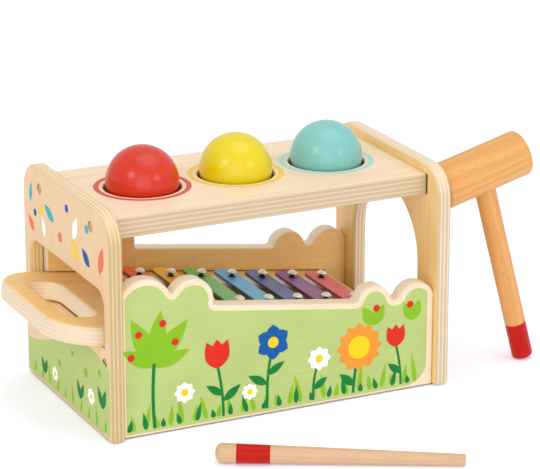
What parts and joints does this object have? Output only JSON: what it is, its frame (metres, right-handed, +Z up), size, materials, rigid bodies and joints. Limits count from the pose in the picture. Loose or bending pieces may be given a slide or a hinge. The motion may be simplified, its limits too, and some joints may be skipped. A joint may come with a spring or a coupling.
{
  "type": "pounding bench toy",
  "caption": "Plywood pounding bench: balls are hammered through rubber-ringed holes onto a slide-out xylophone tray and roll out through an arch; with mallet and beater.",
  "frame": {"origin": "middle of the whole set's footprint, bench, mallet and beater together, on the floor", "axes": "+X along the bench from the tray's handle to the ball arch, +Y from the front cheek to the back one, +Z up"},
  "size_m": [0.3366, 0.2648, 0.1634],
  "materials": {
    "birch_plywood": "sanded birch plywood, clear matt lacquer, bare edges",
    "beech": "turned beech, clear satin lacquer",
    "dowel_wood": "end grain, clear matt lacquer",
    "enamel_red": "gloss lacquer paint",
    "enamel_yellow": "gloss lacquer paint",
    "enamel_teal": "gloss lacquer paint",
    "rubber": "moulded, matt",
    "felt": "pressed wool felt",
    "plated_steel": "bright nickel plate",
    "bar_paint_red": "satin enamel on steel plate",
    "bar_paint_orange": "satin enamel on steel plate",
    "bar_paint_yellow": "satin enamel on steel plate",
    "bar_paint_green": "satin enamel on steel plate",
    "bar_paint_sky_blue": "satin enamel on steel plate",
    "bar_paint_indigo": "satin enamel on steel plate",
    "bar_paint_purple": "satin enamel on steel plate",
    "bar_paint_pink": "satin enamel on steel plate"
  },
  "bodies": {
    "bench": {"left_side_panel": "birch_plywood", "right_side_panel": "birch_plywood", "top_board": "birch_plywood", "ring_red": "rubber", "ring_yellow": "rubber", "ring_teal": "rubber", "front_cheek": "birch_plywood", "back_cheek": "birch_plywood", "dowel_left_board_front": "dowel_wood", "dowel_left_front_cheek_1": "dowel_wood", "dowel_left_front_cheek_2": "dowel_wood", "dowel_left_board_back": "dowel_wood", "dowel_left_back_cheek_1": "dowel_wood", "dowel_left_back_cheek_2": "dowel_wood", "dowel_right_board_front": "dowel_wood", "dowel_right_front_cheek_1": "dowel_wood", "dowel_right_front_cheek_2": "dowel_wood", "dowel_right_board_back": "dowel_wood", "dowel_right_back_cheek_1": "dowel_wood", "dowel_right_back_cheek_2": "dowel_wood"},
    "ball_red": {"ball_red": "enamel_red"},
    "ball_yellow": {"ball_yellow": "enamel_yellow"},
    "ball_teal": {"ball_teal": "enamel_teal"},
    "tray": {"xylophone_tray": "birch_plywood", "felt_front": "felt", "felt_back": "felt", "bar_red": "bar_paint_red", "bar_orange": "bar_paint_orange", "bar_yellow": "bar_paint_yellow", "bar_green": "bar_paint_green", "bar_sky_blue": "bar_paint_sky_blue", "bar_indigo": "bar_paint_indigo", "bar_purple": "bar_paint_purple", "bar_pink": "bar_paint_pink", "screw_red_front": "plated_steel", "screw_red_back": "plated_steel", "screw_orange_front": "plated_steel", "screw_orange_back": "plated_steel", "screw_yellow_front": "plated_steel", "screw_yellow_back": "plated_steel", "screw_green_front": "plated_steel", "screw_green_back": "plated_steel", "screw_sky_blue_front": "plated_steel", "screw_sky_blue_back": "plated_steel", "screw_indigo_front": "plated_steel", "screw_indigo_back": "plated_steel", "screw_purple_front": "plated_steel", "screw_purple_back": "plated_steel", "screw_pink_front": "plated_steel", "screw_pink_back": "plated_steel"},
    "mallet": {"mallet_head": "beech", "mallet_handle": "beech"},
    "beater": {"beater": "beech"}
  },
  "joints": [
    {"name": "red_ball_drop", "type": "slide", "parent": "bench", "child": "ball_red", "axis": [0, 0, 1], "range_m": [-0.0474, 0.04], "deforming": ["ring_red"]},
    {"name": "yellow_ball_drop", "type": "slide", "parent": "bench", "child": "ball_yellow", "axis": [0, 0, 1], "range_m": [-0.0565, 0.04], "deforming": ["ring_yellow"]},
    {"name": "teal_ball_drop", "type": "slide", "parent": "bench", "child": "ball_teal", "axis": [0, 0, 1], "range_m": [-0.0656, 0.04], "deforming": ["ring_teal"]},
    {"name": "tray_slide", "type": "slide", "parent": "bench", "child": "tray", "axis": [-0.99, 0, 0.1409], "range_m": [0, 0.195]},
    {"name": "mallet_lift", "type": "slide", "parent": "bench", "child": "mallet", "axis": [0, 0, 1], "range_m": [0, 0.25]},
    {"name": "beater_lift", "type": "slide", "parent": "bench", "child": "beater", "axis": [0, 0, 1], "range_m": [0, 0.25]}
  ]
}
